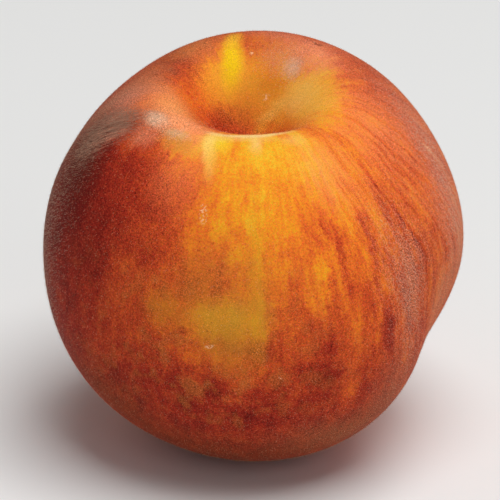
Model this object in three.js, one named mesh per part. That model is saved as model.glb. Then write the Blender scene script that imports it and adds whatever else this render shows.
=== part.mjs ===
// A ripe peach, life size, grown as one closed body.
// Millimetres, +Z up. The fruit stands on a small flat spot centred on the origin and leans a
// little toward -Y, so its stem hollow faces up and forward. The long suture runs down the +X side.
import * as THREE from 'three';

// Half sizes, from the middle of the fruit to its skin.
const HALF = {
  suture: 39.0,    // toward the suture
  dorsal: 35.4,    // away from the suture
  front: 37.9,     // the fuller lobe, in front of the suture
  back: 34.2,      // the smaller lobe, behind it
  crown: 38.0,     // up, before the hollow is taken out
  base: 38.0,      // down
};
const SQUARENESS = 2.09;          // 2 is a plain ellipsoid, more is boxier

// How the fruit stands.
const LEAN = 12;                  // degrees the stem axis tips toward -Y
const SPOT_RADIUS = 7;            // flat spot the fruit rests on
const SPOT_EASE = 9.5;            // radius where the skin is round again
const SPOT_DEPTH = 0.66;          // height pressed flat at the middle of the spot
const SPOT_AHEAD = 1.9;           // how far it lies in front of the fruit's middle

// The stem hollow: a wide basin with a funnel in it and the stem's scar at the bottom.
const BASIN = { depth: 4.0, spread: 22 };                         // mm, degrees
const FUNNEL = { depth: 14.5, spread: 19.4, wall: 3.33, x: -1.3, y: 0.45 };
const SCAR = { depth: 0.9, radius: 1.9 };                         // mm
const SHOULDER = { rise: 1.0, at: 46, spread: 20 };               // lobes stand proud of the seams

// The suture: a shallow valley with a finer crease where it leaves the hollow.
const SUTURE = { at: -37.4, drift: 18.8, turn: 92, ease: 9 };     // degrees around, degrees down
const VALLEY = { depth: 4.0, half: 11.7, crown: 0.44, deepen: 78, ease: 9, end: 145 };
const CREASE = { depth: 0.9, half: 2.4, at: 24, spread: 14 };
const DORSAL = { depth: 0.5, half: 5.0, off: 26, fade: 85 };      // the faint seam opposite

const APEX = { depth: 0.7, radius: 4.5 };                         // dimple at the blossom end

// The grid the skin is laid on: meridians around, rings down from the stem.
const MERIDIANS = 88;
const HOLLOW_RINGS = [2.6, 4.6, 6.6, 8.8, 11, 13.2, 15.4, 17.6, 19.8, 22, 24.4, 27, 30, 33.4, 37.2];
const SIDE_RINGS = 26;                                            // evenly down to the spot
const SPOT_RINGS = [12.8, 10.8, 8.8, 7, 4.7, 2.4];                // mm from the middle of the spot
const TURN_UNDER = [100, 160];                                    // degrees down, see skinPoint

const rad = THREE.MathUtils.degToRad;
const bell = (x) => Math.exp(-x * x);
const step = (x) => 1 / (1 + Math.exp(-x));
const X_AXIS = new THREE.Vector3(1, 0, 0);

// Distance from the middle of the fruit to its skin along a unit direction in the fruit's own
// frame (stem along +Z).
function skinRadius(dir) {
  const down = THREE.MathUtils.radToDeg(Math.acos(THREE.MathUtils.clamp(dir.z, -1, 1)));
  const around = Math.atan2(dir.y, dir.x);
  const level = Math.hypot(dir.x, dir.y);

  const toward = level * Math.cos(around - rad(SUTURE.at));
  const across = level * Math.sin(around - rad(SUTURE.at));
  const body = (
    Math.abs(toward / (toward > 0 ? HALF.suture : HALF.dorsal)) ** SQUARENESS
    + Math.abs(across / (across > 0 ? HALF.back : HALF.front)) ** SQUARENESS
    + Math.abs(dir.z / (dir.z > 0 ? HALF.crown : HALF.base)) ** SQUARENESS
  ) ** (-1 / SQUARENESS);

  const basin = BASIN.depth * bell(down / BASIN.spread);
  const offAxis = Math.hypot(down * Math.cos(around) - FUNNEL.x, down * Math.sin(around) - FUNNEL.y);
  const funnel = FUNNEL.depth * Math.exp(-((offAxis / FUNNEL.spread) ** FUNNEL.wall));
  const floor = HALF.crown - BASIN.depth - FUNNEL.depth;
  const scar = dir.z > 0 ? SCAR.depth * Math.exp(-((floor * level / SCAR.radius) ** 4)) : 0;

  // The seams are measured from the suture's own line, which wanders as it goes down.
  const line = rad(SUTURE.at + SUTURE.drift * step((down - SUTURE.turn) / SUTURE.ease));
  const seam = around - line;
  const side = step(14 * level * Math.cos(seam));
  const off = body * level * Math.sin(seam);
  const reach = step((down - 6) / 3) * step((VALLEY.end - down) / 7);
  const deep = VALLEY.crown + (1 - VALLEY.crown) * step((down - VALLEY.deepen) / VALLEY.ease);
  const crease = CREASE.depth * bell((down - CREASE.at) / CREASE.spread) * bell(off / CREASE.half);
  const valley = (deep * VALLEY.depth * bell(off / VALLEY.half) + crease) * side * reach;
  const offDorsal = body * level * Math.sin(seam - rad(DORSAL.off));
  const dorsal = DORSAL.depth * bell(offDorsal / DORSAL.half) * (1 - side) * step((DORSAL.fade - down) / 12);
  const shoulder = -SHOULDER.rise * bell((down - SHOULDER.at) / SHOULDER.spread) * Math.cos(2 * seam);

  const apex = dir.z < 0 ? APEX.depth * bell(HALF.base * level / APEX.radius) : 0;
  return body + shoulder - basin - funnel - scar - valley - dorsal - apex;
}

// A point of the skin, leaning as the fruit stands but not yet lifted onto the floor. The grid's top
// follows the stem axis and its bottom points at the flat spot, so a ring of it outlines the spot.
// Its meridians wander with the suture, so one of them runs along the crease.
function skinPoint(down, around) {
  const turn = around + rad(SUTURE.drift) * step((down - SUTURE.turn) / SUTURE.ease);
  const under = THREE.MathUtils.smoothstep(down, ...TURN_UNDER);
  const slant = under * (rad(LEAN) + Math.atan(SPOT_AHEAD / HALF.base));
  const dir = new THREE.Vector3(Math.cos(turn), Math.sin(turn), 0).multiplyScalar(Math.sin(rad(down)));
  dir.setZ(Math.cos(rad(down))).applyAxisAngle(X_AXIS, -slant);
  const point = dir.clone().multiplyScalar(skinRadius(dir)).applyAxisAngle(X_AXIS, rad(LEAN));
  return point.setY(point.y + SPOT_AHEAD);
}

// How far down each ring lies, in degrees from the stem.
function ringAngles() {
  const spot = SPOT_RINGS.map((out) => 180 - THREE.MathUtils.radToDeg(Math.atan(out / HALF.base)));
  const first = HOLLOW_RINGS.at(-1);
  const side = Array.from({ length: SIDE_RINGS - 1 }, (_, i) => (
    first + (spot[0] - first) * (i + 1) / SIDE_RINGS
  ));
  return [...HOLLOW_RINGS, ...side, ...spot];
}

function peachGeometry() {
  const rings = ringAngles();
  const points = [skinPoint(0, 0)];
  for (const down of rings) {
    for (let m = 0; m < MERIDIANS; m += 1) {
      points.push(skinPoint(down, rad(SUTURE.at) + 2 * Math.PI * m / MERIDIANS));
    }
  }
  points.push(skinPoint(180, 0));

  // Lift the fruit onto the floor and press the spot flat.
  const lowest = Math.min(...points.map((p) => p.z));
  for (const p of points) {
    const out = Math.hypot(p.x, p.y);
    p.z -= lowest + SPOT_DEPTH;
    if (p.z < HALF.base / 2) {
      p.z = Math.max(p.z, 0) * THREE.MathUtils.smoothstep(out, SPOT_RADIUS + 0.1, SPOT_EASE);
    }
  }

  const at = (ring, m) => 1 + ring * MERIDIANS + m % MERIDIANS;
  const last = rings.length - 1;
  const faces = [];
  for (let m = 0; m < MERIDIANS; m += 1) {
    faces.push(0, at(0, m), at(0, m + 1));
    for (let ring = 0; ring < last; ring += 1) {
      faces.push(at(ring, m), at(ring + 1, m), at(ring + 1, m + 1));
      faces.push(at(ring, m), at(ring + 1, m + 1), at(ring, m + 1));
    }
    faces.push(at(last, m), points.length - 1, at(last, m + 1));
  }

  const geometry = new THREE.BufferGeometry().setFromPoints(points);
  geometry.setIndex(faces);
  geometry.computeVertexNormals();
  return geometry;
}

const skin = new THREE.MeshStandardMaterial({ color: '#d4662c', roughness: 0.65, metalness: 0 });
skin.name = 'skin';

const peach = new THREE.Mesh(peachGeometry(), skin);
peach.name = 'peach';

const group = new THREE.Group();
group.name = 'peach_fruit';
group.add(peach);
export default group;
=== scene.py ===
import math

import bpy
from mathutils import Matrix, Vector
from mathutils.bvhtree import BVHTree


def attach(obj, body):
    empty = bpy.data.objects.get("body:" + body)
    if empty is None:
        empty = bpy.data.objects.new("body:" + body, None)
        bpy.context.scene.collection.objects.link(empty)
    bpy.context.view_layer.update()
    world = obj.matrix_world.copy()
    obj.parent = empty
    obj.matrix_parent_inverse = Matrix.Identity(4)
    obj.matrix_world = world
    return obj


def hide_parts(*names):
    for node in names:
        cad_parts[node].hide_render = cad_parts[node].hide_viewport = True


bl_info = {
    "name": "Ripe Peach",
    "version": (1, 0, 0),
    "blender": (4, 5, 0),
    "location": "3D View > Sidebar > Peach",
    "description": "Grows the skin and the down of a ripe peach on its solid, and sets a plain stage",
    "category": "Object",
}

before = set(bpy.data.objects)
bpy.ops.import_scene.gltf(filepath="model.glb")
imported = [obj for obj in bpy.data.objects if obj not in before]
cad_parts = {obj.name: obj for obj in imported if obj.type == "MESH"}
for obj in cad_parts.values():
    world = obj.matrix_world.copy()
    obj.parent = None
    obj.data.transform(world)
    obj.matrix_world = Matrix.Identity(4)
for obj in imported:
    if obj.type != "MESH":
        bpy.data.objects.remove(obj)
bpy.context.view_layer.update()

MM = 0.001

# How the fruit stands: its middle above the flat spot, and the lean of its stem axis.
MIDDLE = Vector((0.0, 1.9, 37.46)) * MM
LEAN = math.radians(12.0)
MEAN_RADIUS = 36.0     # millimetres, for turning degrees into lengths along the skin

# The crease in the suture: degrees around the stem at the hollow, how far it wanders, and the
# degrees down from the stem where it does so.
CREASE_AT = -41.0
CREASE_DRIFT = 10.0
CREASE_TURN = 62.0
CREASE_EASE = 8.0

# Its half width, and the degrees down at which it starts and ends and over which it fades, for the
# shape. FAR_AWAY keeps its colour off the far side of the fruit.
CREASE_HALF = 0.6
CREASE_START = 30.0
CREASE_END = 150.0
CREASE_FADE = 20.0
FAR_AWAY = 99.0

# Ways the hairs lie: leaning down the fruit, or combed over the left shoulder.
DOWNWARD = (0.0, 0.0, -1.0)
COMBED = (-0.75, 0.36, -0.55)


# ---------------------------------------------------------------- places on the fruit

def on_fruit(around, down):
    """The direction from the fruit's middle at an angle around the stem and down from it."""
    a, d = math.radians(around), math.radians(down)
    return Vector((math.sin(d) * math.cos(a), math.sin(d) * math.sin(a), math.cos(d)))


def fruit_to_stage():
    """Turns the fruit's own frame, stem up and in millimetres, into the standing frame."""
    return Matrix.Translation(MIDDLE) @ Matrix.Rotation(LEAN, 4, "X") @ Matrix.Scale(MM, 4)


def solid_surface():
    """The solid's faces, ready to be struck by rays from the fruit's middle, in the fruit's own frame."""
    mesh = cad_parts["peach"].data
    to_fruit = fruit_to_stage().inverted()
    return BVHTree.FromPolygons(
        [to_fruit @ v.co for v in mesh.vertices], [tuple(face.vertices) for face in mesh.polygons])


SURFACE = solid_surface()


def skin_spot(around, down):
    """The place on the skin at an angle around the stem and down from it, and its outward direction."""
    place, outward, _, _ = SURFACE.ray_cast(Vector(), on_fruit(around, down))
    if place is None:
        raise RuntimeError("the solid peach has a gap in its skin")
    return place, outward


# ---------------------------------------------------------------- node helpers

class Nodes:
    """Short ways to place nodes in a tree. Values that are sockets are linked, others are set."""

    def __init__(self, tree):
        self.tree = tree

    def add(self, kind, values=None, **settings):
        node = self.tree.nodes.new(kind)
        for name, value in settings.items():
            setattr(node, name, value)
        for name, value in (values or {}).items():
            self.put(node.inputs[name], value)
        return node

    def put(self, socket, value):
        if isinstance(value, bpy.types.NodeSocket):
            self.tree.links.new(value, socket)
        else:
            socket.default_value = value

    def math(self, operation, a, b=0.0):
        node = self.add("ShaderNodeMath", operation=operation)
        self.put(node.inputs[0], a)
        self.put(node.inputs[1], b)
        return node.outputs[0]

    def plus(self, a, b):
        return self.math("ADD", a, b)

    def minus(self, a, b):
        return self.math("SUBTRACT", a, b)

    def times(self, a, b):
        return self.math("MULTIPLY", a, b)

    def vector(self, operation, a, b=(0.0, 0.0, 0.0)):
        node = self.add("ShaderNodeVectorMath", operation=operation)
        self.put(node.inputs[0], a)
        self.put(node.inputs[1], b)
        return node.outputs["Value" if operation in ("LENGTH", "DOT_PRODUCT") else "Vector"]

    def scaled(self, vector, amount):
        node = self.add("ShaderNodeVectorMath", operation="SCALE")
        self.put(node.inputs[0], vector)
        self.put(node.inputs["Scale"], amount)
        return node.outputs["Vector"]

    def mix(self, factor, a, b):
        node = self.add("ShaderNodeMix", data_type="RGBA")
        self.put(node.inputs[0], factor)
        self.put(node.inputs[6], a)
        self.put(node.inputs[7], b)
        return node.outputs[2]

    def spread(self, value, low, high, to_low=0.0, to_high=1.0):
        node = self.add("ShaderNodeMapRange", {
            "Value": value, "From Min": low, "From Max": high, "To Min": to_low, "To Max": to_high,
        }, interpolation_type="SMOOTHSTEP", clamp=False)
        return node.outputs["Result"]

    def noise(self, vector, kind, output="Fac"):
        size, detail, roughness = kind
        node = self.add("ShaderNodeTexNoise", {
            "Vector": vector, "Scale": 1 / size, "Detail": detail, "Roughness": roughness,
        })
        return node.outputs[output]

    def ramp(self, factor, stops):
        node = self.add("ShaderNodeValToRGB", {"Fac": factor})
        elements = node.color_ramp.elements
        while len(elements) < len(stops):
            elements.new(0.5)
        for element, (place, colour) in zip(elements, stops):
            element.position = place
            element.color = colour
        return node.outputs["Color"]

    def group(self, tree, values):
        node = self.add("ShaderNodeGroup", node_tree=tree)
        for name, value in values.items():
            self.put(node.inputs[name], value)
        return node.outputs


def new_group(name, inputs, outputs):
    """An empty shader node group with named sockets, and its helper, input and output nodes."""
    tree = bpy.data.node_groups.new(name, "ShaderNodeTree")
    for label, kind in inputs:
        tree.interface.new_socket(label, in_out="INPUT", socket_type=kind)
    for label, kind in outputs:
        tree.interface.new_socket(label, in_out="OUTPUT", socket_type=kind)
    nodes = Nodes(tree)
    return nodes, nodes.add("NodeGroupInput").outputs, nodes.add("NodeGroupOutput").inputs


def srgb(red, green, blue):
    """A colour on a 0 to 255 scale, as the shader's own linear colour."""
    def linear(value):
        value /= 255.0
        return value / 12.92 if value <= 0.04045 else ((value + 0.055) / 1.055) ** 2.4
    return (linear(red), linear(green), linear(blue), 1.0)


def plain_material(name, colour, roughness, shine=0.1):
    """A material with one colour all over."""
    material = bpy.data.materials.new(name)
    material.use_nodes = True
    shader = material.node_tree.nodes["Principled BSDF"]
    shader.inputs["Base Color"].default_value = (*colour, 1.0)
    shader.inputs["Roughness"].default_value = roughness
    shader.inputs["Specular IOR Level"].default_value = shine
    return material


def deselect_all():
    if bpy.context.object and bpy.context.object.mode != "OBJECT":
        bpy.ops.object.mode_set(mode="OBJECT")
    bpy.ops.object.select_all(action="DESELECT")


def make_active(piece):
    deselect_all()
    piece.select_set(True)
    bpy.context.view_layer.objects.active = piece


# ---------------------------------------------------------------- skin colour

def places_group():
    """Where a point of the skin is: in the fruit's own frame in millimetres, how far down from the
    stem in degrees, which way round, and which way is up along the skin."""
    nodes, given, out = new_group("Places on the fruit", [("Vector", "NodeSocketVector")], [
        ("Place", "NodeSocketVector"), ("Down", "NodeSocketFloat"),
        ("Around", "NodeSocketVector"), ("Upward", "NodeSocketVector")])
    upright = nodes.add("ShaderNodeMapping", {
        "Vector": given["Vector"], "Location": MIDDLE, "Rotation": (LEAN, 0.0, 0.0), "Scale": (MM, MM, MM),
    }, vector_type="TEXTURE").outputs["Vector"]
    outward = nodes.vector("NORMALIZE", upright)
    height = nodes.vector("DOT_PRODUCT", outward, (0.0, 0.0, 1.0))
    down = nodes.times(nodes.math("ARCCOSINE", height), 180.0 / math.pi)
    level = nodes.vector("MULTIPLY", upright, (1.0, 1.0, 0.0))
    stem_part = nodes.scaled(outward, height)
    upward = nodes.vector("NORMALIZE", nodes.vector("SUBTRACT", (0.0, 0.0, 1.0), stem_part))
    nodes.put(out["Place"], upright)
    nodes.put(out["Down"], down)
    nodes.put(out["Around"], nodes.vector("NORMALIZE", level))
    nodes.put(out["Upward"], upward)
    return nodes.tree


def crease_group():
    """How far beside the suture's crease a point lies, in millimetres, and the same crease's wander."""
    nodes, given, out = new_group("Suture crease", [
        ("Place", "NodeSocketVector"), ("Down", "NodeSocketFloat")], [
        ("Beside", "NodeSocketFloat"), ("Wander", "NodeSocketFloat")])
    apart = nodes.add("ShaderNodeSeparateXYZ", {"Vector": given["Place"]})
    around = nodes.math("ARCTAN2", apart.outputs["Y"], apart.outputs["X"])
    late = nodes.math("DIVIDE", nodes.minus(CREASE_TURN, given["Down"]), CREASE_EASE)
    turned = nodes.math("DIVIDE", 1.0, nodes.plus(1.0, nodes.math("POWER", math.e, late)))
    wander = nodes.times(turned, math.radians(CREASE_DRIFT))
    off = nodes.minus(nodes.minus(around, math.radians(CREASE_AT)), wander)
    level = nodes.vector("LENGTH", nodes.vector("MULTIPLY", given["Place"], (1.0, 1.0, 0.0)))
    near = nodes.spread(nodes.math("COSINE", off), 0.3, 1.0)
    behind = nodes.math("LESS_THAN", nodes.math("COSINE", off), 0.0)
    beside = nodes.math("ABSOLUTE", nodes.times(nodes.math("SINE", off), level))
    beside = nodes.plus(beside, nodes.times(behind, FAR_AWAY))
    nodes.put(out["Beside"], beside)
    nodes.put(out["Wander"], nodes.times(wander, near))
    return nodes.tree


def patch_group():
    """A soft-edged oval patch on the skin. Its axes are each divided by its size along them."""
    nodes, given, out = new_group("Soft patch", [
        ("Place", "NodeSocketVector"), ("Centre", "NodeSocketVector"), ("Across", "NodeSocketVector"),
        ("Along", "NodeSocketVector"), ("Outward", "NodeSocketVector"), ("Edge", "NodeSocketFloat"),
    ], [("Mask", "NodeSocketFloat")])
    away = nodes.vector("SUBTRACT", given["Place"], given["Centre"])
    local = nodes.add("ShaderNodeCombineXYZ", {
        "X": nodes.vector("DOT_PRODUCT", away, given["Across"]),
        "Y": nodes.vector("DOT_PRODUCT", away, given["Along"]),
        "Z": nodes.vector("DOT_PRODUCT", away, given["Outward"])}).outputs[0]
    far = nodes.vector("LENGTH", local)
    outer = nodes.plus(1.0, given["Edge"])
    inner = nodes.minus(1.0, given["Edge"])
    nodes.put(out["Mask"], nodes.spread(far, outer, inner))
    return nodes.tree


def streak_group():
    """Streaks that run from the stem down, of a given width and length in millimetres."""
    nodes, given, out = new_group("Streaks", [
        ("Around", "NodeSocketVector"), ("Down", "NodeSocketFloat"), ("Width", "NodeSocketFloat"),
        ("Length", "NodeSocketFloat"), ("Shift", "NodeSocketFloat"), ("Detail", "NodeSocketFloat"),
    ], [("Value", "NodeSocketFloat")])
    sideways = nodes.scaled(given["Around"], nodes.math("DIVIDE", MEAN_RADIUS, given["Width"]))
    lengthways = nodes.times(given["Down"], math.radians(MEAN_RADIUS))
    lengthways = nodes.math("DIVIDE", lengthways, given["Length"])
    stack = nodes.add("ShaderNodeCombineXYZ", {"Z": nodes.plus(lengthways, given["Shift"])})
    place = nodes.vector("ADD", sideways, stack.outputs[0])
    nodes.put(out["Value"], nodes.noise(place, (1.0, given["Detail"], 0.55)))
    return nodes.tree


# Streaks up and down the fruit: width and length in millimetres, a shift that sets each kind apart,
# and how many finer layers it has.
WIDE_STREAKS = (2.8, 14.0, 0.0, 2.0)
FINE_STREAKS = (0.8, 6.0, 40.0, 2.0)
LONG_STREAKS = (1.2, 15.0, 300.0, 3.0)
DARK_STREAKS = (1.7, 10.0, 80.0, 3.0)
DOWNY_STREAKS = (1.4, 12.0, 120.0, 3.0)
LONG_MOTTLE = (1.3, 3.4, 200.0, 3.0)

# Blots and grain: size in millimetres, how many finer layers, and how strong those are.
CLOUD = (7.0, 2.0, 0.5)
RAG = (1.6, 2.0, 0.6)
BLOTCH = (3.6, 2.0, 0.5)
ROUND_MOTTLE = (1.3, 3.0, 0.7)
GRAIN = (0.38, 1.0, 0.5)
FINE_GRAIN = (0.21, 0.0, 0.5)
OCHRE_BLOTS = (3.2, 3.0, 0.55)
FRECKLES = (1.5, 1.0, 0.5)
COMBED_LINES = (0.42, 2.0, 0.6)
FLAKES = (0.45, 1.0, 0.5)
PORES_APART = 0.75
GRAIN_RELIEF = 0.06

# How far a patch's edge wanders, is ragged and is drawn out in streaks, in millimetres, and the
# share of it that narrow patches, clean-edged ones and the streaks themselves follow.
WANDER, RAGGED, DRAWN_OUT = 9.0, 4.5, 10.0
NEARBY, STEADY, SWAY = 0.45, 0.28, 0.25

# How far the streaks (wide, fine, long), the mottling (blotches, mottle) and the grain (coarse,
# fine) swing the blush, and how much of it dark streaks, the crease and the pores add.
STREAK_SWINGS = (0.36, 0.28, 0.30)
MOTTLE_SWINGS = (0.36, 0.42)
GRAIN_SWINGS = (0.40, 0.24)
DARK_STREAK_BLUSH, CREASE_BLUSH, PORE_BLUSH = 0.11, 0.13, 0.10

# How strongly each of these covers what lies under it, the painted highlight of the lip among them. The
# scar is as strong as the scuffs.
OCHRE_STRENGTH, FRECKLE_STRENGTH, LIP_HIGHLIGHT_STRENGTH, COMBED_STRENGTH = 0.54, 0.35, 0.72, 0.64
DOWNY_STRENGTH, SCUFF_STRENGTH, PORE_COLOUR = 0.50, 0.60, 0.14

# The lines of the combed shoulder, the light and dark specks of the downy flank, the scar, and how
# much the grain shades a light blush and a strong one.
COMBED_COLOURS = ((0.38, srgb(66, 34, 26)), (0.64, srgb(226, 164, 134)))
DOWNY_SPECKS = (srgb(232, 160, 124), srgb(104, 34, 26))
SCAR_COLOUR = srgb(96, 44, 26)
GRAIN_SHADE = (0.5, 2.3)

# Where along the blush each of the skin's colours lies, from the shaded side to the sunny side.
BLUSH = (("gold", 0.00), ("amber", 0.18), ("orange", 0.36), ("vermilion", 0.52), ("red", 0.68),
         ("crimson", 0.84), ("maroon", 1.00))

# Patches of more or less blush: what it is, degrees around and down, half width and half length in
# millimetres, turn in degrees, softness of the edge, and how much blush it adds.
BLUSH_PATCHES = (
    ("shaded front", -92, 42, 8.5, 13.0, 0, 0.8, -0.255),
    ("front lip", -88, 29, 12.0, 4.5, 0, 0.8, -0.20),
    ("right of the shaded front", -69, 42, 7.0, 9.0, 8, 0.9, -0.12),
    ("olive ground", -97, 75.5, 6.5, 4.0, 0, 0.5, -0.20),
    ("olive ground, left", -114, 75, 3.5, 3.5, 0, 0.6, -0.12),
    ("olive column", -89, 66, 1.6, 12.0, 0, 0.6, -0.14),
    ("olive column, left", -98, 56, 1.2, 7.0, 0, 0.6, -0.10),
    ("lower right gold", -77, 60, 5.5, 7.0, 0, 0.8, -0.07),
    ("gold lobe", -73, 66, 1.4, 5.0, 0, 0.6, -0.12),
    ("gold strip", -84, 63, 1.0, 4.0, 0, 0.6, -0.08),
    ("gold in the hollow, right", 8, 19.5, 6.6, 5.6, 0, 0.8, -0.34),
    ("gold in the hollow, back", 85, 20, 8.0, 6.0, 0, 0.8, -0.22),
    ("right shoulder", -39, 32, 9.0, 6.0, 0, 0.8, -0.18),
    ("cheek", -47, 51, 9.0, 13.0, 0, 0.8, -0.075),
    ("hollow, left", 150, 20, 8.0, 6.0, 0, 0.8, -0.09),
    ("gold below the left lip", -124, 32, 3.6, 1.8, 0, 0.6, -0.20),
    ("left cheek", -138, 58, 11.0, 14.0, 0, 0.9, 0.27),
    ("left side", -158, 78, 10.0, 20.0, 0, 0.9, 0.24),
    ("far left side", 178, 76, 12.0, 20.0, 0, 0.9, 0.26),
    ("left side, low", -142, 82, 6.5, 9.0, 0, 0.9, 0.04),
    ("left side, lowest", -150, 104, 6.0, 7.0, 0, 0.9, 0.10),
    ("upper left", -158, 54, 6.0, 6.0, 0, 0.9, 0.14),
    ("below the left spot", -146, 39, 3.4, 2.8, 0, 0.9, -0.10),
    ("belly", -98, 100, 20.0, 7.0, 0, 0.8, 0.16),
    # Partly painted shade: the underside is darkened in colour, as shade under the fruit, over its real
    # red.
    ("underneath, front", -96, 126, 34.0, 16.0, 0, 0.8, 0.28),
    ("left belly", -126, 88, 12.0, 10.0, 0, 0.8, 0.08),
    # Partly painted shade: more blush deep in the hollow, where shade falls, over its deep red.
    ("deep in the hollow", 150, 13.6, 4.2, 3.8, 0, 0.8, 0.24),
    ("hollow, upper left", 145, 24.5, 5.0, 2.6, 0, 0.9, 0.16),
    ("right flank", -40, 72, 4.6, 11.0, 0, 0.8, 0.08),
    ("above the right flank", -53, 60, 6.0, 5.5, 0, 0.9, -0.08),
    ("right flank, low", -57, 86, 3.0, 8.0, 0, 0.7, 0.04),
    ("low right", -71, 86, 2.4, 6.0, 0, 0.7, 0.10),
    ("bottom right", -52, 104, 10.0, 8.0, 0, 0.9, 0.08),
    ("brighter beside the cheek", -127, 68, 3.0, 8.0, 0, 0.9, -0.11),
    ("redder at the end of the lip", -44, 33, 3.6, 3.0, 0, 0.9, 0.14),
    ("right shoulder, back", 18, 34, 7.0, 4.5, 0, 0.9, 0.14),
    ("gold outside the wedge", -22, 24.5, 4.5, 3.0, 0, 0.9, -0.16),
    ("right of the belly", -70, 71, 9.0, 12.0, 0, 0.9, 0.025),
    ("red strip", -81, 74, 1.3, 6.0, 0, 0.7, 0.05),
    ("far rim, top", 95, 32, 16.0, 4.0, 0, 0.9, 0.10),
    ("back cheek", 146, 66, 15.0, 18.0, 0, 0.9, 0.16),
    ("back, blushed", 100, 84, 14.0, 16.0, 0, 0.9, 0.14),
    ("back, shaded", 70, 66, 16.0, 14.0, 0, 0.9, -0.16),
    ("under side, back", 60, 130, 26.0, 14.0, 0, 0.9, -0.06),
)

# Smaller patches that lie up and down the fruit, given in the same way.
BLUSH_STREAKS = (
    ("red spot left of the column", -99, 62, 1.6, 4.0, 0, 0.8, 0.12),
    ("red spot above the olive ground", -98, 68, 1.9, 1.5, 0, 0.8, 0.14),
    ("red below the column", -86.5, 82, 2.0, 2.6, 0, 0.9, 0.14),
    ("gold beside the column", -81, 67.5, 1.4, 2.0, 0, 0.9, -0.12),
    ("gold strip in the middle", -92.5, 62, 1.0, 5.0, 0, 0.8, -0.10),
    ("gold flame", -71, 69.5, 1.2, 4.5, 0, 0.7, -0.24),
    ("gold flame, right", -65.5, 69, 1.0, 4.5, 0, 0.7, -0.16),
    ("ochre flame", -62, 79, 1.1, 4.0, 0, 0.7, -0.14),
    ("gold strip on the cheek", -58, 48.5, 1.2, 5.5, 0, 0.8, -0.14),
    ("dark spot low on the right", -52, 85.5, 1.5, 3.4, 0, 0.8, 0.28),
    ("dark spot beside the ochre flame", -70, 85, 1.6, 2.0, 0, 0.8, 0.14),
    ("ochre streak at the bottom right", -65, 99, 1.5, 4.5, 0, 0.8, -0.20),
    ("dark streak", -63.5, 59.5, 0.7, 3.5, 0, 0.8, 0.18),
    ("dark streak, higher", -66.5, 52, 0.5, 3.0, 0, 0.8, 0.12),
    ("dark streak, right", -52.5, 60, 0.7, 4.5, 0, 0.8, 0.20),
    ("red streak on the cheek", -41.5, 53, 0.9, 5.0, 0, 0.8, 0.14),
    ("orange between wedge and cream", -97.5, 31, 1.1, 2.6, 0, 0.8, 0.12),
    ("ochre below the middle", -93, 90, 5.0, 3.0, 0, 0.9, -0.09),
    ("lighter, low in the middle", -93, 99, 2.6, 1.6, 0, 0.9, -0.12),
    ("ochre, left of it", -103, 85, 3.4, 2.6, 0, 0.9, -0.12),
    ("dark patch, low left", -109, 79, 0.9, 0.8, 0, 0.7, 0.16),
    ("dark patch, left", -125, 62, 3.4, 2.0, 0, 0.9, 0.10),
    ("dark edge on the lower right", -71, 92, 3.0, 2.4, 0, 0.8, 0.14),
)

# Where the streaks show most: degrees around and down, half width and half length, turn, softness.
STREAKY_SIDE = (-42, 60, 27.0, 28.0, 0, 0.7)

# Where dull down dims the flank, in streaks, and where the blush is even, given in the same way.
DOWNY_FLANK = (-42, 77, 6.0, 12.0, 0, 0.8)
CALM_CHEEK = (-140, 60, 13.0, 18.0, 0, 0.7)
COMBED_SHOULDER = (-164, 43.5, 3.0, 5.6, -28, 0.9)
OCHRE_BELLY = (-102, 86, 21.0, 15.0, 0, 0.8)

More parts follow.
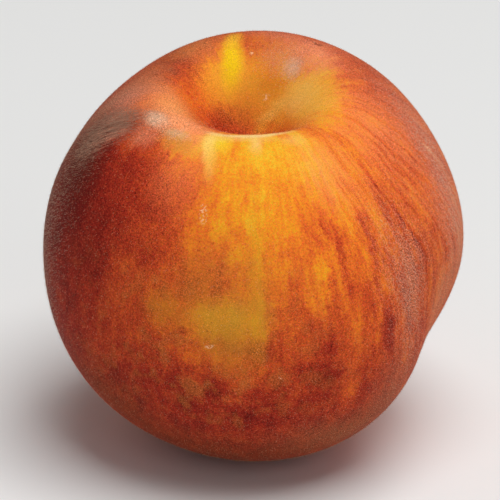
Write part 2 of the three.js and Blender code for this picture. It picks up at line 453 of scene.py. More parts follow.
# Patches of another colour: what it is, degrees around and down, half width and half length in
# millimetres, turn in degrees, softness of the edge, the colour, and how strong it is.
TINTED_PATCHES = (
    ("duller below the middle", -96, 68, 8.0, 8.0, 0, 0.9, srgb(196, 116, 46), 0.35),
    ("olive ground", -96.5, 76, 5.8, 3.8, 0, 0.7, srgb(216, 162, 46), 0.62),
    ("olive ground, left", -114, 75, 3.2, 3.2, 0, 0.9, srgb(190, 122, 40), 0.45),
    ("olive column", -88.5, 66, 1.5, 12.0, 0, 0.7, srgb(216, 152, 38), 0.40),
    ("ochre below the olive ground", -95, 83.5, 4.2, 3.8, 0, 0.9, srgb(192, 114, 42), 0.55),
    ("ochre left of the column", -104, 67, 3.0, 3.0, 0, 0.9, srgb(198, 112, 42), 0.45),
    ("hollow, back wall", 86, 15.5, 7.0, 5.0, 0, 0.8, srgb(200, 136, 46), 0.62),
    ("glow beside the ray", 116, 20, 4.6, 3.4, 0, 0.9, srgb(244, 176, 54), 0.55),
    ("brown above the hollow", 82, 25.5, 6.0, 3.4, 0, 0.9, srgb(190, 98, 50), 0.48),
    # Partly painted shade: a dark red tint down in the hollow, where shade falls, over its deep red.
    ("deep red, down in the hollow", 150, 12.4, 3.8, 3.0, 0, 0.9, srgb(156, 44, 30), 0.45),
    ("gold right of the ray", -2, 19.5, 5.2, 4.0, 0, 0.9, srgb(255, 198, 80), 0.85),
    ("gold below the ray", 40, 14.5, 3.4, 2.6, 0, 0.9, srgb(236, 168, 58), 0.65),
    ("salmon right of the spot", 42, 25.5, 5.0, 3.0, 0, 0.9, srgb(244, 162, 124), 0.50),
    ("olive beside the ray", 24, 18.0, 3.0, 3.0, -50, 0.9, srgb(255, 206, 108), 0.65),
    # Partly painted highlight: the ridge is made paler where light catches it, over its salmon down.
    ("salmon ridge", -164, 25, 6.2, 3.6, 0, 0.9, srgb(255, 168, 98), 0.80),
    ("salmon shoulder, left", -176, 32, 5.0, 4.0, 0, 0.9, srgb(246, 130, 76), 0.66),
    ("salmon, right shoulder", -16, 36, 9.0, 8.0, 0, 0.9, srgb(255, 146, 90), 0.42),
    ("salmon, right cheek", -50, 46, 4.0, 7.0, 0, 0.9, srgb(250, 140, 78), 0.30),
    ("salmon beside the lip", -136, 27, 6.0, 3.0, 0, 0.9, srgb(255, 164, 110), 0.75),
    ("salmon under the lip, left", -118, 40, 4.0, 6.0, 0, 0.9, srgb(252, 142, 88), 0.25),
    ("salmon under the lip, right", -60, 38, 4.0, 6.0, 0, 0.9, srgb(250, 154, 94), 0.40),
    # Painted sheen: the down's pale haze where the upper left rim is seen edge-on.
    ("pale haze, upper left rim", 174, 42, 4.0, 6.5, 0, 0.9, srgb(238, 164, 128), 0.72),
    ("brown, far left rim", 150, 29.5, 7.0, 3.2, 0, 0.9, srgb(138, 76, 50), 0.55),
    ("olive, far left rim", 122, 29.5, 4.6, 3.2, 0, 0.9, srgb(200, 128, 76), 0.50),
    ("brown, far right rim", 22, 38, 12.0, 6.0, 0, 0.9, srgb(184, 80, 54), 0.50),
    ("pale lobe, right rim", -12, 76, 4.0, 8.0, 0, 0.9, srgb(206, 146, 122), 0.60),
    ("pale lobe, lower rim", -20, 93, 4.0, 6.0, 0, 0.9, srgb(210, 136, 96), 0.60),
    ("pale rim at the back", 68, 29.5, 8.0, 2.4, 0, 0.9, srgb(212, 126, 96), 0.50),
    # Painted sheen: the down's mauve haze where the right rim is seen edge-on.
    ("mauve haze, right rim", -7, 56, 3.8, 10.0, -28, 0.9, srgb(186, 116, 102), 0.58),
    ("salmon, upper left", 170, 34, 6.0, 4.0, 0, 0.9, srgb(214, 128, 88), 0.55),
    ("grey down, upper left", -168, 53, 6.0, 6.5, 0, 0.9, srgb(86, 44, 34), 0.66),
    ("pale down behind the ridge", -178, 37, 4.4, 3.0, 0, 0.9, srgb(236, 150, 120), 0.60),
    ("dusky red below the ridge", -163, 52, 3.6, 4.2, 30, 0.9, srgb(80, 32, 28), 0.50),
    ("pale down below the ridge", -143.5, 35.5, 2.2, 1.8, 0, 0.9, srgb(232, 154, 118), 0.34),
    ("dull yellow below the lip", -127, 32.5, 2.8, 1.5, 0, 0.9, srgb(210, 146, 56), 0.55),
    # Partly painted shade: the left side, away from the lights, is made a darker red over its crimson
    # blush.
    ("dusky left", -176, 78, 10.5, 24.0, 0, 0.9, srgb(112, 24, 14), 0.74),
    ("pink down, right", -20, 66, 6.0, 16.0, 0, 0.9, srgb(222, 134, 96), 0.35),
    ("pink down, right side", 16, 68, 12.0, 20.0, 0, 0.9, srgb(214, 130, 94), 0.40),
    ("brown down, left side", 168, 60, 9.0, 14.0, 0, 0.9, srgb(150, 84, 62), 0.35),
    # Partly painted shade: these brown tints darken the underside, as shade under the fruit, over its
    # brownish down.
    ("brown below, left", -136, 112, 8.0, 7.0, 0, 0.9, srgb(110, 52, 26), 0.50),
    ("brown below", -96, 128, 22.0, 7.5, 0, 0.9, srgb(112, 58, 32), 0.55),
    ("brown below, right", -62, 118, 10.0, 6.0, 0, 0.9, srgb(150, 90, 58), 0.55),
    ("pale brown, low on the right", -48, 104, 5.0, 6.0, 0, 0.9, srgb(190, 118, 84), 0.45),
)

# Markings with a cleaner edge, given in the same way.
MARKINGS = (
    ("olive ray, deepest", 66, 10.5, 0.8, 1.4, -30, 0.9, srgb(220, 156, 54), 0.70),
    ("olive ray, deep", 55, 13.5, 0.8, 2.2, -42, 0.9, srgb(228, 176, 80), 0.70),
    ("olive ray, middle", 42, 16.0, 0.9, 2.4, -48, 0.9, srgb(236, 182, 82), 0.75),
    ("olive ray, up the wall", 24, 19.0, 1.2, 3.2, -55, 0.9, srgb(244, 186, 78), 0.65),
    ("yellow streak in the hollow", 107, 22.0, 1.6, 4.2, -16, 0.7, srgb(240, 200, 20), 0.97),
    ("top of the streak", 101, 28.0, 1.3, 2.2, -16, 0.9, srgb(238, 182, 52), 0.70),
    ("yellow of the wedge", -108.8, 29.2, 2.2, 2.3, 0, 0.8, srgb(246, 206, 46), 0.90),
    ("pale edge of the wedge", -112.5, 30.3, 0.8, 2.6, 12, 0.9, srgb(255, 216, 124), 0.62),
    ("point of the wedge", -109.0, 34.2, 0.9, 3.4, 14, 0.9, srgb(252, 198, 88), 0.70),
    ("pale band under the lip", -97, 26.4, 5.0, 0.9, 9.5, 0.9, srgb(255, 210, 126), 0.40),
    ("cream spot below the lip", -88, 28.5, 1.0, 1.8, 0, 0.9, srgb(250, 216, 130), 0.50),
    ("pale spot below the lip", -66, 28, 1.8, 1.2, 0, 0.9, srgb(244, 200, 106), 0.40),
    ("haze above the hollow", 64, 22.0, 3.6, 2.4, 0, 0.9, srgb(224, 152, 104), 0.40),
    ("downy spot above the hollow", 53, 21.2, 1.4, 1.7, 0, 0.8, srgb(234, 190, 156), 0.60),
    ("downy spot on the left", -148, 30.5, 2.0, 1.3, 10, 0.9, srgb(240, 200, 166), 0.75),
    ("small downy spot", -131.5, 31.0, 2.1, 0.9, 10, 0.9, srgb(222, 178, 126), 0.65),
)

# A painted highlight, cream, along the edge of the lip: how far down from the stem it runs, how much higher
# for each millimetre to the right, half its width and how far it wanders, all in degrees, and where it
# shows.
LIP_HIGHLIGHT_DOWN = 24.9
LIP_HIGHLIGHT_RISE = 0.157
LIP_HIGHLIGHT_HALF = 1.6
LIP_HIGHLIGHT_WANDER = 1.6
LIP_HIGHLIGHT_STRETCH = (-91, 25, 7.0, 3.0, 9.5, 0.6)
LIP_HIGHLIGHT_CREAM = srgb(255, 228, 156)

# Small pale scuffs, where the down is rubbed up: degrees around and down, half width and half length
# in millimetres, turn in degrees, softness. The old scar is dark, and given in the same way.
SCUFFS = (
    ("scuff on the front", -106, 49, 0.6, 1.5, 10, 0.5),
    ("scuff in the hollow", 71, 16, 0.7, 0.5, 20, 0.5),
    ("scuff on the right edge", -6, 55, 0.5, 1.8, 10, 0.5),
    ("scuff low on the front", -101, 83, 0.9, 0.3, 20, 0.5),
    ("scuff on the belly", -83, 92, 0.3, 0.5, 30, 0.5),
    ("scuff behind the hollow", 90, 23, 0.4, 0.3, 0, 0.5),
)
OLD_SCAR = (53, 29.5, 1.3, 0.25, -10, 0.5)


def patch_values(around, down, half_width, half_length, turn, edge):
    """Where a patch lies, as the soft patch group wants it."""
    place, outward = skin_spot(around, down)
    sideways = Vector((0.0, 0.0, 1.0)).cross(on_fruit(around, 90.0))
    to_stem = outward.cross(sideways).normalized()
    sideways = to_stem.cross(outward)
    c, s = math.cos(math.radians(turn)), math.sin(math.radians(turn))
    return {"Centre": place, "Across": (sideways * c + to_stem * s) / half_width,
            "Along": (to_stem * c - sideways * s) / half_length,
            "Outward": outward / (0.6 * max(half_width, half_length) + 3.0), "Edge": edge}


class SkinColour(Nodes):
    """Puts the skin's colour together. Each step below works on what the steps before it made."""

    def __init__(self, tree, looks):
        super().__init__(tree)
        self.looks = looks
        self.patch, self.streak = patch_group(), streak_group()
        where = self.add("ShaderNodeTexCoord").outputs["Object"]
        places = self.group(places_group(), {"Vector": where})
        self.place, self.down, self.around, self.upward = (
            places[name] for name in ("Place", "Down", "Around", "Upward"))
        self.find_textures()
        self.stir_places()
        self.find_mottle()
        self.blush = looks.blush
        self.add_blush_patches()
        self.add_streaks()
        self.add_mottling()
        self.add_crease_and_pores()
        self.colour = self.ramp(self.blush, [(stop, self.look(name)) for name, stop in BLUSH])
        self.add_ochre_belly()
        self.add_tints()
        self.add_lip_highlight()
        self.add_combed_shoulder()
        self.add_downy_flank()
        self.paint(self.pore, PORE_COLOUR, self.look("pores"))
        self.add_scuffs()
        self.add_shade()

    def look(self, name):
        return (*getattr(self.looks, name), 1.0)

    def streaks(self, kind, around):
        width, length, shift, detail = kind
        return self.group(self.streak, {
            "Around": around, "Down": self.down, "Width": width, "Length": length, "Shift": shift,
            "Detail": detail})["Value"]

    def patch_mask(self, name, where, values):
        mask = self.group(self.patch, {"Place": where, **patch_values(*values)})["Mask"]
        mask.node.label = name
        return mask

    def add_blush(self, mask, amount):
        self.blush = self.plus(self.blush, self.times(mask, amount))

    def swing_blush(self, value, strength, where):
        swing = self.times(self.minus(value, 0.5), strength)
        self.add_blush(swing, where)

    def paint(self, mask, strength, tint):
        self.colour = self.mix(self.times(mask, strength), self.colour, tint)

    def find_textures(self):
        place = self.place
        self.wide = self.streaks(WIDE_STREAKS, self.around)
        self.fine = self.streaks(FINE_STREAKS, self.around)
        self.cloud = self.noise(place, CLOUD, "Color")
        self.rag = self.noise(place, RAG, "Color")
        self.blotch = self.noise(place, BLOTCH)
        self.round_mottle = self.noise(place, ROUND_MOTTLE)
        self.grain = self.noise(place, GRAIN)
        self.fine_grain = self.noise(place, FINE_GRAIN)
        pores = self.add("ShaderNodeTexVoronoi", {"Vector": place, "Scale": 1 / PORES_APART}, feature="F1")
        self.pore = self.spread(pores.outputs["Distance"], 0.30, 0.12)

    def stir_places(self):
        """The patches' edges wander, and run out in streaks up and down the fruit."""
        place = self.place
        wander = self.scaled(self.vector("SUBTRACT", self.cloud, (0.5, 0.5, 0.5)), WANDER)
        ragged = self.scaled(self.vector("SUBTRACT", self.rag, (0.5, 0.5, 0.5)), RAGGED)
        drawn = self.scaled(self.upward, self.times(self.minus(self.wide, 0.5), DRAWN_OUT))
        self.wandering = self.vector(
            "ADD", self.vector("ADD", place, wander), self.vector("ADD", drawn, ragged))
        self.nearby = self.vector("ADD", place, self.scaled(self.vector("ADD", drawn, ragged), NEARBY))
        self.steady = self.vector("ADD", place, self.scaled(ragged, STEADY))
        swayed = self.vector("ADD", place, self.scaled(ragged, SWAY))
        swayed = self.vector("ADD", swayed, self.scaled(wander, SWAY))
        swayed = self.vector("NORMALIZE", self.vector("MULTIPLY", swayed, (1.0, 1.0, 0.0)))
        self.crease = self.group(crease_group(), {"Place": place, "Down": self.down})
        self.swayed = self.add("ShaderNodeVectorRotate", {
            "Vector": swayed, "Angle": self.times(self.crease["Wander"], -1.0)},
            rotation_type="Z_AXIS").outputs[0]

    def find_mottle(self):
        """The mottling is round in the hollow and drawn out along the sides."""
        long_mottle = self.streaks(LONG_MOTTLE, self.swayed)
        mottle = self.add("ShaderNodeMix", data_type="FLOAT")
        self.put(mottle.inputs[0], self.spread(self.down, 22.0, 40.0, 0.0, 0.75))
        self.put(mottle.inputs[2], self.round_mottle)
        self.put(mottle.inputs[3], long_mottle)
        self.mottle = mottle.outputs[0]

    def add_blush_patches(self):
        for patches, where in ((BLUSH_PATCHES, self.wandering), (BLUSH_STREAKS, self.nearby)):
            for name, *values, amount in patches:
                self.add_blush(self.patch_mask(name, where, values), amount)

    def add_streaks(self):
        self.streaky = self.patch_mask("streaky side", self.place, STREAKY_SIDE)
        streaked = self.plus(0.3, self.times(self.streaky, 0.7))
        streaked = self.times(streaked, self.spread(self.down, 18.0, 40.0, 0.3, 1.0))
        dark = self.spread(self.streaks(DARK_STREAKS, self.swayed), 0.48, 0.74)
        self.add_blush(self.times(dark, self.streaky), DARK_STREAK_BLUSH)
        self.lines = self.streaks(LONG_STREAKS, self.swayed)
        for value, strength in zip((self.wide, self.fine, self.lines), STREAK_SWINGS):
            self.swing_blush(value, strength, streaked)

    def add_mottling(self):
        calm = self.minus(1.0, self.times(self.patch_mask("calm cheek", self.place, CALM_CHEEK), 0.6))
        calm = self.times(calm, self.spread(self.down, 18.0, 36.0, 0.5, 1.0))
        calm = self.times(calm, self.minus(1.0, self.times(self.streaky, 0.3)))
        for value, strength in zip((self.blotch, self.mottle), MOTTLE_SWINGS):
            self.swing_blush(value, strength, calm)
        for value, strength in zip((self.grain, self.fine_grain), GRAIN_SWINGS):
            self.add_blush(self.minus(value, 0.5), strength)

    def add_crease_and_pores(self):
        in_crease = self.spread(self.crease["Beside"], 0.55, 0.1)
        in_crease = self.times(in_crease, self.spread(self.down, 35.0, 60.0))
        in_crease = self.times(in_crease, self.spread(self.fine, 0.40, 0.60))
        self.add_blush(in_crease, CREASE_BLUSH)
        self.pore = self.times(self.pore, self.spread(self.down, 24.0, 60.0, 0.35, 0.9))
        self.add_blush(self.pore, PORE_BLUSH)

    def add_ochre_belly(self):
        place = self.place
        belly = self.patch_mask("ochre belly", self.wandering, OCHRE_BELLY)
        ochre = self.times(self.spread(self.noise(place, OCHRE_BLOTS), 0.47, 0.67), belly)
        self.paint(ochre, OCHRE_STRENGTH, self.look("ochre"))
        freckle = self.times(self.spread(self.noise(place, FRECKLES), 0.60, 0.70), belly)
        freckle = self.times(freckle, self.spread(self.blush, 0.35, 0.60))
        self.paint(freckle, FRECKLE_STRENGTH, self.look("red"))

    def add_tints(self):
        lined = self.times(self.spread(self.lines, 0.36, 0.64), self.streaky)
        showing = self.math("MAXIMUM", self.minus(1.15, lined), 0.35)
        for name, *values, tint, strength in TINTED_PATCHES:
            mask = self.patch_mask(name, self.nearby, values)
            uneven = self.times(mask, self.spread(self.mottle, 0.3, 0.7, 0.75 * strength, 1.1 * strength))
            self.paint(uneven, showing, tint)
        for name, *values, tint, strength in MARKINGS:
            mask = self.patch_mask(name, self.steady, values)
            self.paint(mask, self.spread(self.grain, 0.3, 0.7, 0.8 * strength, 1.1 * strength), tint)

    def add_lip_highlight(self):
        # The cream line along the lip is a painted highlight, where the down catches the light.
        across = self.add("ShaderNodeSeparateXYZ", {"Vector": self.place}).outputs["X"]
        off_lip_highlight = self.plus(self.minus(self.down, LIP_HIGHLIGHT_DOWN), self.times(across, LIP_HIGHLIGHT_RISE))
        off_lip_highlight = self.plus(off_lip_highlight, self.times(self.minus(self.blotch, 0.5), LIP_HIGHLIGHT_WANDER))
        lip = self.spread(self.math("ABSOLUTE", off_lip_highlight), LIP_HIGHLIGHT_HALF, 0.0)
        lip = self.times(lip, self.patch_mask("painted highlight along the lip", self.nearby, LIP_HIGHLIGHT_STRETCH))
        self.paint(lip, LIP_HIGHLIGHT_STRENGTH, LIP_HIGHLIGHT_CREAM)

    def add_combed_shoulder(self):
        """On the left shoulder the down is combed to one side, in fine light and dark lines."""
        place = self.place
        comb = Vector(COMBED).normalized()
        most = self.vector("MULTIPLY", comb, (0.94, 0.94, 0.94))
        lengthways = self.scaled(most, self.vector("DOT_PRODUCT", place, comb))
        combed = self.noise(self.vector("SUBTRACT", place, lengthways), COMBED_LINES)
        shoulder = self.patch_mask("combed shoulder", self.nearby, COMBED_SHOULDER)
        shoulder = self.times(shoulder, COMBED_STRENGTH)
        self.colour = self.mix(shoulder, self.colour, self.ramp(combed, COMBED_COLOURS))

    def add_downy_flank(self):
        downy = self.spread(self.streaks(DOWNY_STREAKS, self.swayed), 0.40, 0.62, 0.10, 1.0)
        downy = self.times(downy, self.patch_mask("downy flank", self.place, DOWNY_FLANK))
        light = self.spread(self.fine_grain, 0.44, 0.62)
        dark = self.spread(self.fine_grain, 0.54, 0.38)
        for speck, tint in zip((light, dark), DOWNY_SPECKS):
            self.paint(self.times(downy, speck), DOWNY_STRENGTH, tint)

    def add_scuffs(self):
        flakes = self.spread(self.noise(self.place, FLAKES), 0.48, 0.58)
        for name, *values in SCUFFS:
            flaky = self.times(self.patch_mask(name, self.place, values), flakes)
            self.paint(flaky, SCUFF_STRENGTH, self.look("scuffs"))
        scar = self.patch_mask("old scar", self.nearby, OLD_SCAR)
        self.paint(scar, SCUFF_STRENGTH, SCAR_COLOUR)

    def add_shade(self):
        grain = self.minus(self.fine_grain, 0.5)
        shade = self.times(grain, self.spread(self.blush, 0.3, 0.8, *GRAIN_SHADE))
        self.colour = self.scaled(self.colour, self.plus(1.0, shade))


def skin_material(looks):
    """Peach skin: its colour, a soft sheen and a fine roughness."""
    material = bpy.data.materials.new("peach_skin")
    material.use_nodes = True
    shader = material.node_tree.nodes["Principled BSDF"]
    skin = SkinColour(material.node_tree, looks)
    skin.put(shader.inputs["Base Color"], skin.colour)
    skin.put(shader.inputs["Roughness"], skin.spread(skin.grain, 0.3, 0.7, 0.55, 0.7))
    shader.inputs["Specular IOR Level"].default_value = 0.04
    shader.inputs["Sheen Weight"].default_value = 0.04
    shader.inputs["Sheen Roughness"].default_value = 0.3
    shader.inputs["Sheen Tint"].default_value = srgb(255, 216, 186)
    bump = skin.add("ShaderNodeBump", {
        "Height": skin.grain, "Strength": 0.35, "Distance": GRAIN_RELIEF * MM})
    skin.put(shader.inputs["Normal"], bump.outputs["Normal"])
    return material


# ---------------------------------------------------------------- skin

# Low swellings and furrows: what it is, degrees around and down, half width and half length in
# millimetres, turn in degrees, and height in millimetres.
LOW_RELIEF = (
    ("knob on the left shoulder", -149, 30, 2.4, 1.5, 10, 0.32),
    ("smaller knob beside it", -132, 30.5, 2.2, 1.1, 10, 0.24),
    ("furrow between the knobs", -140, 31, 0.9, 2.0, 0, -0.14),
    ("ridge down the left shoulder", -159, 33, 4.2, 1.4, 38, 0.26),
    ("its lower end", -171, 43, 6.0, 1.8, 64, 0.24),
    ("trough in front of the ridge", -157, 39, 6.0, 2.2, 46, -0.16),
    ("lip, right of the middle", -72, 24.5, 6.5, 2.2, 0, 0.28),
    ("lip, left of the middle", -110, 25, 3.6, 2.0, 0, -0.10),
    ("seam at the back of the hollow", 107, 21, 2.2, 5.0, 0, 0.30),
    ("fold on the lip", -111, 31, 1.4, 4.5, -6, -0.16),
    ("fold on the lip, middle", -88, 28, 1.2, 2.4, 0, 0.12),
    ("dent above the hollow", 53, 21.2, 1.8, 2.0, 0, -0.14),
)

LEAST_HEIGHT = 0.002     # millimetres; lower relief is left out


def soft_sum(patches, places):
    """The amounts of soft patches added up at each of some places in the fruit's own frame."""
    sums = [0.0] * len(places)
    for name, *values, amount in patches:
        spot = patch_values(*values, 0.0)
        reach = 2.5 * max(values[2], values[3])
        for index, place in enumerate(places):
            away = place - spot["Centre"]
            if away.length < reach:
                far = sum(away.dot(spot[axis]) ** 2 for axis in ("Across", "Along", "Outward"))
                sums[index] += amount * math.exp(-far)
    return sums


def crease_depths(places, deepest):
    """How deep the suture's crease is at each of some places in the fruit's own frame."""
    depths = []
    for place in places:
        down = math.degrees(math.acos(place.normalized().z))
        middle = CREASE_AT + CREASE_DRIFT / (1.0 + math.exp((CREASE_TURN - down) / CREASE_EASE))
        off = math.atan2(place.y, place.x) - math.radians(middle)
        beside = math.hypot(place.x, place.y) * math.sin(off)
        reach = min(down - CREASE_START, CREASE_END - down) / CREASE_FADE
        reach = max(0.0, min(reach, 1.0)) if math.cos(off) > 0.0 else 0.0
        depths.append(deepest * reach * math.exp(-(beside / CREASE_HALF) ** 2))
    return depths


def merged_copy(node, name):
    """A copy of a solid's mesh with its corners joined and its triangles paired into quads."""
    piece = bpy.data.objects.new(name, node.data.copy())
    bpy.context.scene.collection.objects.link(piece)
    make_active(piece)
    bpy.ops.object.mode_set(mode="EDIT")
    bpy.ops.mesh.select_all(action="SELECT")
    bpy.ops.mesh.remove_doubles(threshold=0.001 * MM)
    bpy.ops.mesh.tris_convert_to_quads(face_threshold=math.radians(60), shape_threshold=math.radians(60))
    bpy.ops.object.mode_set(mode="OBJECT")
    return piece


def push(piece, name, height, weights):
    """Moves a piece's surface outwards by a height times a weight for each point."""
    group = piece.vertex_groups.new(name=name)
    for index, weight in weights:
        group.add([index], weight, "REPLACE")
    modifier = piece.modifiers.new(name, "DISPLACE")
    modifier.vertex_group = group.name
    modifier.strength = height
    modifier.mid_level = 0.0
    make_active(piece)
    bpy.ops.object.modifier_apply(modifier=modifier.name)
    piece.vertex_groups.remove(piece.vertex_groups[name])


def colour_setting(name, description, red, green, blue):
    """A colour that a user may change, given on a 0 to 255 scale."""
    return bpy.props.FloatVectorProperty(
        name=name, description=description, default=srgb(red, green, blue)[:3], subtype="COLOR")


def length_setting(name, description, default):
    """A length in metres that a user may change."""
    return bpy.props.FloatProperty(name=name, description=description, default=default, unit="LENGTH")


class PeachSkinSettings(bpy.types.PropertyGroup):
    fineness: bpy.props.IntProperty(
        name="Fineness", description="How many times the solid's faces are split for the skin", default=2)
    relief: bpy.props.FloatProperty(
        name="Relief", description="How high the low swellings and furrows are, beside the real ones",
        default=1.0)
    crease: length_setting("Crease", "Depth of the crease in the suture", 0.13 * MM)
    blush: bpy.props.FloatProperty(
        name="Blush", description="How much blush the skin has where no patch adds to it", default=0.53)
    gold: colour_setting("Gold", "Colour of the shaded skin", 242, 190, 46)
    amber: colour_setting("Amber", "Colour where the blush begins", 243, 160, 34)
    orange: colour_setting("Orange", "Colour of a light blush", 238, 126, 37)
    vermilion: colour_setting("Vermilion", "Colour of a middling blush", 216, 92, 38)
    red: colour_setting("Red", "Colour of a strong blush", 186, 65, 34)
    crimson: colour_setting("Crimson", "Colour of the sunny cheek", 154, 41, 27)
    maroon: colour_setting("Maroon", "Darkest colour of the sunny cheek", 116, 27, 21)
    ochre: colour_setting("Ochre", "Colour of the dull patches on the belly", 188, 108, 50)
    pores: colour_setting("Pores", "Colour of the pores", 158, 50, 16)
    scuffs: colour_setting("Scuffs", "Colour of the small pale scuffs", 252, 206, 160)


class PEACH_OT_skin(bpy.types.Operator):
    """Round the solid fruit with a fine skin"""

    bl_idname = "peach.skin"
    bl_label = "Skin"

    def execute(self, context):
        looks = context.scene.peach_skin
        skin = merged_copy(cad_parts["peach"], "peach_skin")
        rounding = skin.modifiers.new("Rounding", "SUBSURF")
        rounding.levels = rounding.render_levels = looks.fineness
        bpy.ops.object.modifier_apply(modifier=rounding.name)
        bpy.ops.object.shade_smooth()

        to_fruit = fruit_to_stage().inverted()
        places = [to_fruit @ v.co for v in skin.data.vertices]
        heights = [h * looks.relief - d for h, d in zip(
            soft_sum(LOW_RELIEF, places), crease_depths(places, looks.crease / MM))]
        push(skin, "raised", MM, [(i, h) for i, h in enumerate(heights) if h > LEAST_HEIGHT])
        push(skin, "sunk", -MM, [(i, -h) for i, h in enumerate(heights) if h < -LEAST_HEIGHT])

        skin.data.materials.clear()
        skin.data.materials.append(skin_material(looks))
        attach(skin, "root")
        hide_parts("peach")
        return {"FINISHED"}


# ---------------------------------------------------------------- down

# Patches where the down stands thicker: what it is, degrees around and down, half width and half
# length in millimetres, turn in degrees, and how much thicker.
THICK_DOWN = (
    ("upper left", -172, 46, 7.0, 8.0, 0, 0.50),
    ("left rim", -158, 84, 8.0, 20.0, 0, -0.25),
    ("left shoulder", -150, 29, 4.0, 3.0, 0, 0.40),
    ("above the hollow", 55, 23, 3.0, 3.0, 0, 0.40),
    ("right flank", -42, 73, 5.0, 10.0, 0, 0.20),
    ("low right", -55, 104, 9.0, 7.0, 0, 0.20),
    ("below", -106, 122, 26.0, 7.0, 0, -0.30),
)

# Patches where longer hairs lie matted, and where they lie combed to one side.
MATTED_DOWN = (
    ("spot on the left", -148, 30.5, 2.2, 1.5, 10, 0.95),
    ("small spot", -131.5, 31, 2.2, 1.0, 10, 0.80),
    ("above the hollow", 53, 21, 1.6, 1.8, 0, 0.95),
    ("around it", 64, 22, 4.0, 3.0, 0, 0.40),
    ("left", -165, 80, 6.0, 18.0, 0, 0.12),
    ("right rim", -6, 56, 4.0, 12.0, -28, 0.40),
    ("right flank", -42, 74, 4.0, 11.0, 0, 0.30),
)
COMBED_DOWN = (
    ("left shoulder", -160, 37, 3.6, 2.6, 30, 1.00),
    ("upper left", -168, 46, 3.6, 5.0, 0, 0.50),
    ("ridge", -156, 31.5, 5.0, 1.0, 38, 0.50),
)

# The parts of the down: shade, patches, how thick it stands elsewhere, how many hairs it has beside
# a plain one, how upright they stand, the way they lie and how far, how unruly they are, and how
# long beside a plain one.
PARTS_OF_DOWN = (
    ("pale", THICK_DOWN, 0.6, 1.00, 1.00, DOWNWARD, 0.45, 0.7, 1.0),
    ("warm", THICK_DOWN, 0.6, 0.85, 1.00, DOWNWARD, 0.45, 0.7, 1.0),
    ("grey", THICK_DOWN, 0.1, 1.00, 1.00, DOWNWARD, 0.45, 0.7, 1.0),
    ("brown", THICK_DOWN, 0.1, 1.00, 1.00, DOWNWARD, 0.45, 0.7, 1.0),
    ("stray", (), 1.0, 0.35, 0.70, DOWNWARD, 0.45, 0.8, 1.3),
    ("matted", MATTED_DOWN, 0.0, 0.30, 0.40, DOWNWARD, 0.60, 0.6, 1.8),
    ("combed", COMBED_DOWN, 0.0, 0.09, 0.30, COMBED, 1.20, 0.3, 2.4),
)

DOWN_ROUGHNESS = 0.6
SHORTEST_HAIR, LONGEST_HAIR = 0.55, 1.15     # beside a full-grown one

# Where the fruit rests the down is worn off up to WORN millimetres, and full WORN_EDGE higher.
WORN = 0.8
WORN_EDGE = 2.5


def thickness_of_down(points, patches, least):
    """How thick the down stands at each point, from 0 to 1: worn off where the fruit rests."""
    to_fruit = fruit_to_stage().inverted()
    more = soft_sum(patches, [to_fruit @ point for point in points])
    clear = [(point.z / MM - WORN) / WORN_EDGE for point in points]
    return [max(0.0, min(least + extra, 1.0)) * max(0.0, min(height, 1.0))
            for extra, height in zip(more, clear)]


def model_hair(size):
    """One hair of the down: a slender three-sided spike standing on its root."""
    deselect_all()
    bpy.ops.mesh.primitive_cone_add(
        vertices=3, radius1=size.thickness, radius2=0.0, depth=size.length, end_fill_type="NGON",
        location=(0.0, 0.0, size.length / 2 - size.root))
    hair = bpy.context.object
    hair.name = "down_hair"
    bpy.ops.object.transform_apply(location=True, rotation=True, scale=True)
    return hair


def sowing_group(name, hair, density, upright, lay, unruly, growth, seed):
    """Sows hairs over a surface, lying one way and a little each its own way."""
    tree = bpy.data.node_groups.new(name, "GeometryNodeTree")
    tree.interface.new_socket("Geometry", in_out="INPUT", socket_type="NodeSocketGeometry")
    tree.interface.new_socket("Geometry", in_out="OUTPUT", socket_type="NodeSocketGeometry")
    nodes = Nodes(tree)
    given = nodes.add("NodeGroupInput").outputs
    out = nodes.add("NodeGroupOutput").inputs
    thick = nodes.add("GeometryNodeInputNamedAttribute", {"Name": "thick"}, data_type="FLOAT")
    per_area = nodes.times(thick.outputs["Attribute"], density)
    sown = nodes.add("GeometryNodeDistributePointsOnFaces", {
        "Mesh": given["Geometry"], "Density": per_area, "Seed": seed}, distribute_method="RANDOM")
    own_way = nodes.add("FunctionNodeRandomValue", {"Seed": seed + 1}, data_type="FLOAT_VECTOR")
    own_way.inputs[0].default_value = (-unruly, -unruly, -unruly)
    own_way.inputs[1].default_value = (unruly, unruly, unruly)
    own_way = nodes.vector("ADD", own_way.outputs[0], lay)
    stand = nodes.vector("ADD", nodes.scaled(sown.outputs["Normal"], upright), own_way)
    turn = nodes.add("FunctionNodeAlignRotationToVector", {"Vector": stand}, axis="Z")
    long = nodes.add("FunctionNodeRandomValue", {"Seed": seed + 2}, data_type="FLOAT")
    long.inputs[2].default_value = SHORTEST_HAIR * growth
    long.inputs[3].default_value = LONGEST_HAIR * growth
    spike = nodes.add("GeometryNodeObjectInfo", {"Object": hair})
    placed = nodes.add("GeometryNodeInstanceOnPoints", {
        "Points": sown.outputs["Points"], "Instance": spike.outputs["Geometry"],
        "Rotation": turn.outputs["Rotation"], "Scale": long.outputs[1]})
    real = nodes.add("GeometryNodeRealizeInstances", {"Geometry": placed.outputs["Instances"]})
    nodes.put(out["Geometry"], real.outputs["Geometry"])
    return tree


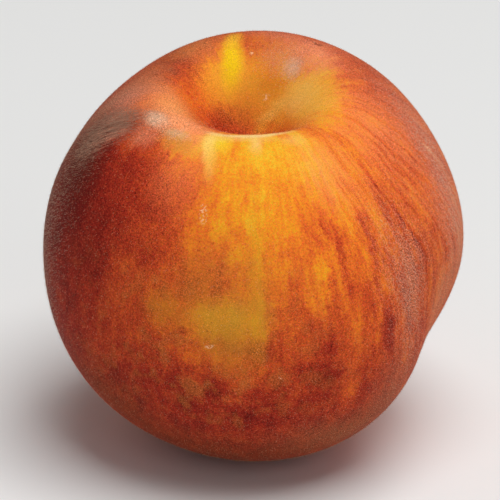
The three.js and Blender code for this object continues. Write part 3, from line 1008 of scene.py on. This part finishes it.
class PeachDownSettings(bpy.types.PropertyGroup):
    length: length_setting("Length", "Length of a full-grown hair", 0.36 * MM)
    thickness: length_setting("Thickness", "Half the thickness of a hair at its root", 0.009 * MM)
    root: length_setting("Root", "How deep a hair is rooted", 0.05 * MM)
    lean: bpy.props.FloatProperty(
        name="Lean", description="How far the hairs lean, beside how they grow", default=1.0)
    unruly: bpy.props.FloatProperty(
        name="Unruly", description="How much each hair leans its own way, beside how it grows", default=1.0)
    hairs: bpy.props.IntProperty(
        name="Hairs", description="About how many hairs a plain part of the down has", default=42000)
    pale: colour_setting("Pale", "Colour of the pale hairs", 232, 184, 138)
    warm: colour_setting("Warm", "Colour of the warm hairs", 206, 116, 72)
    grey: colour_setting("Grey", "Colour of the grey hairs", 124, 92, 76)
    brown: colour_setting("Brown", "Colour of the brown hairs", 88, 54, 42)
    stray: colour_setting("Stray", "Colour of the stray hairs", 244, 206, 168)
    matted: colour_setting("Matted", "Colour of the matted hairs", 226, 196, 170)
    combed: colour_setting("Combed", "Colour of the combed hairs", 176, 142, 120)


class PEACH_OT_down(bpy.types.Operator):
    """Sow the short down over the skin, in several shades, and the longer matted hairs"""

    bl_idname = "peach.down"
    bl_label = "Down"

    def execute(self, context):
        size = context.scene.peach_down
        skin = bpy.data.objects["peach_skin"]
        points = [v.co for v in skin.data.vertices]
        hair = model_hair(size)
        for number, part in enumerate(PARTS_OF_DOWN):
            shade, patches, least, share, upright, lay, lean, unruly, growth = part
            name = "down_" + shade
            down = bpy.data.objects.new(name, skin.data.copy())
            context.scene.collection.objects.link(down)
            values = thickness_of_down(points, patches, least)
            down.data.attributes.new("thick", "FLOAT", "POINT").data.foreach_set("value", values)
            area = 0.0
            for face in down.data.polygons:
                area += face.area * sum(values[i] for i in face.vertices) / len(face.vertices)
            sowing = down.modifiers.new("Sowing", "NODES")
            sowing.node_group = sowing_group(
                name, hair, share * size.hairs / area, upright, Vector(lay) * lean * size.lean,
                unruly * size.unruly, growth, 10 * number + 3)
            make_active(down)
            bpy.ops.object.modifier_apply(modifier=sowing.name)
            down.data.materials.clear()
            down.data.materials.append(plain_material(name, getattr(size, shade), DOWN_ROUGHNESS))
            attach(down, "root")
        bpy.data.objects.remove(hair)
        return {"FINISHED"}


# ---------------------------------------------------------------- stage

# Square lights: name, place and side in metres, and power in watts.
LIGHTS = (
    ("overhead_light", (0.40, -0.50, 2.0), 1.4, 38.0),
    ("front_fill", (0.9, -2.1, 1.2), 1.6, 7.0),
)
SKY_STRENGTH = 0.18
PAPER_ROUGHNESS = 0.9

# How far to the side and below the fruit's middle the camera aims, and its sensor, in millimetres.
AIM_ASIDE = -0.354
AIM_BELOW = 1.52
SENSOR = 36.0


class PeachStageSettings(bpy.types.PropertyGroup):
    floor_size: length_setting("Floor size", "Side of the square floor", 3.0)
    floor_colour: bpy.props.FloatVectorProperty(
        name="Floor colour", description="Colour of the plain floor", subtype="COLOR",
        size=3, min=0.0, max=1.0, default=(0.86, 0.86, 0.85))
    height_angle: bpy.props.FloatProperty(
        name="Camera height angle", description="Angle of the camera above the floor",
        subtype="ANGLE", default=math.radians(23.33))
    camera_away: length_setting("Camera distance", "From the camera to the fruit's middle", 0.7)
    view_width: length_setting("View width", "Width the camera takes in at the fruit's middle", 88.5 * MM)


class PEACH_OT_stage(bpy.types.Operator):
    """Set the floor, the lights and the camera"""

    bl_idname = "peach.stage"
    bl_label = "Stage"

    def execute(self, context):
        settings = context.scene.peach_stage
        deselect_all()
        bpy.ops.mesh.primitive_plane_add(size=settings.floor_size, location=(0, 0, 0))
        floor = context.object
        floor.name = "floor"
        floor.data.materials.append(plain_material("floor_paper", settings.floor_colour, PAPER_ROUGHNESS))
        self.lights(context)
        self.camera(context, settings)
        return {"FINISHED"}

    def lights(self, context):
        for name, place, size, power in LIGHTS:
            data = bpy.data.lights.new(name, "AREA")
            data.size = size
            data.energy = power
            lamp = bpy.data.objects.new(name, data)
            lamp.location = place
            lamp.rotation_euler = (MIDDLE - Vector(place)).to_track_quat("-Z", "Y").to_euler()
            context.scene.collection.objects.link(lamp)
        world = bpy.data.worlds.new("studio")
        world.use_nodes = True
        sky = world.node_tree.nodes["Background"].inputs
        sky["Color"].default_value = (1.0, 1.0, 1.0, 1.0)
        sky["Strength"].default_value = SKY_STRENGTH
        context.scene.world = world
        context.scene.view_settings.view_transform = "Standard"

    def camera(self, context, settings):
        data = bpy.data.cameras.new("camera")
        data.sensor_width = SENSOR
        data.lens = data.sensor_width * settings.camera_away / settings.view_width
        camera = bpy.data.objects.new("camera", data)
        height = settings.height_angle
        back = Vector((0.0, -math.cos(height), math.sin(height)))
        up = Vector((0.0, math.sin(height), math.cos(height)))
        aim = MIDDLE + Vector((AIM_ASIDE * MM, 0.0, 0.0)) - up * AIM_BELOW * MM
        camera.location = aim + back * settings.camera_away
        camera.rotation_euler = (-back).to_track_quat("-Z", "Y").to_euler()
        context.scene.collection.objects.link(camera)
        context.scene.camera = camera


class PEACH_PT_sidebar(bpy.types.Panel):
    """Lists the pieces of the peach and the stage"""

    bl_idname = "PEACH_PT_sidebar"
    bl_label = "Ripe Peach"
    bl_space_type = "VIEW_3D"
    bl_region_type = "UI"
    bl_category = "Peach"

    def draw(self, context):
        column = self.layout.column()
        for group, operator in (
                ("peach_skin", "peach.skin"), ("peach_down", "peach.down"), ("peach_stage", "peach.stage")):
            settings = getattr(context.scene, group)
            for name in settings.__annotations__:
                column.prop(settings, name)
            column.operator(operator)


CLASSES = (PeachSkinSettings, PeachDownSettings, PeachStageSettings, PEACH_OT_skin, PEACH_OT_down,
           PEACH_OT_stage, PEACH_PT_sidebar)


def register():
    for cls in CLASSES:
        bpy.utils.register_class(cls)
    bpy.types.Scene.peach_skin = bpy.props.PointerProperty(type=PeachSkinSettings)
    bpy.types.Scene.peach_down = bpy.props.PointerProperty(type=PeachDownSettings)
    bpy.types.Scene.peach_stage = bpy.props.PointerProperty(type=PeachStageSettings)


def unregister():
    del bpy.types.Scene.peach_stage
    del bpy.types.Scene.peach_down
    del bpy.types.Scene.peach_skin
    for cls in reversed(CLASSES):
        bpy.utils.unregister_class(cls)


def main():
    register()
    bpy.ops.peach.skin()
    bpy.ops.peach.down()
    bpy.ops.peach.stage()


if __name__ == "__main__":
    main()
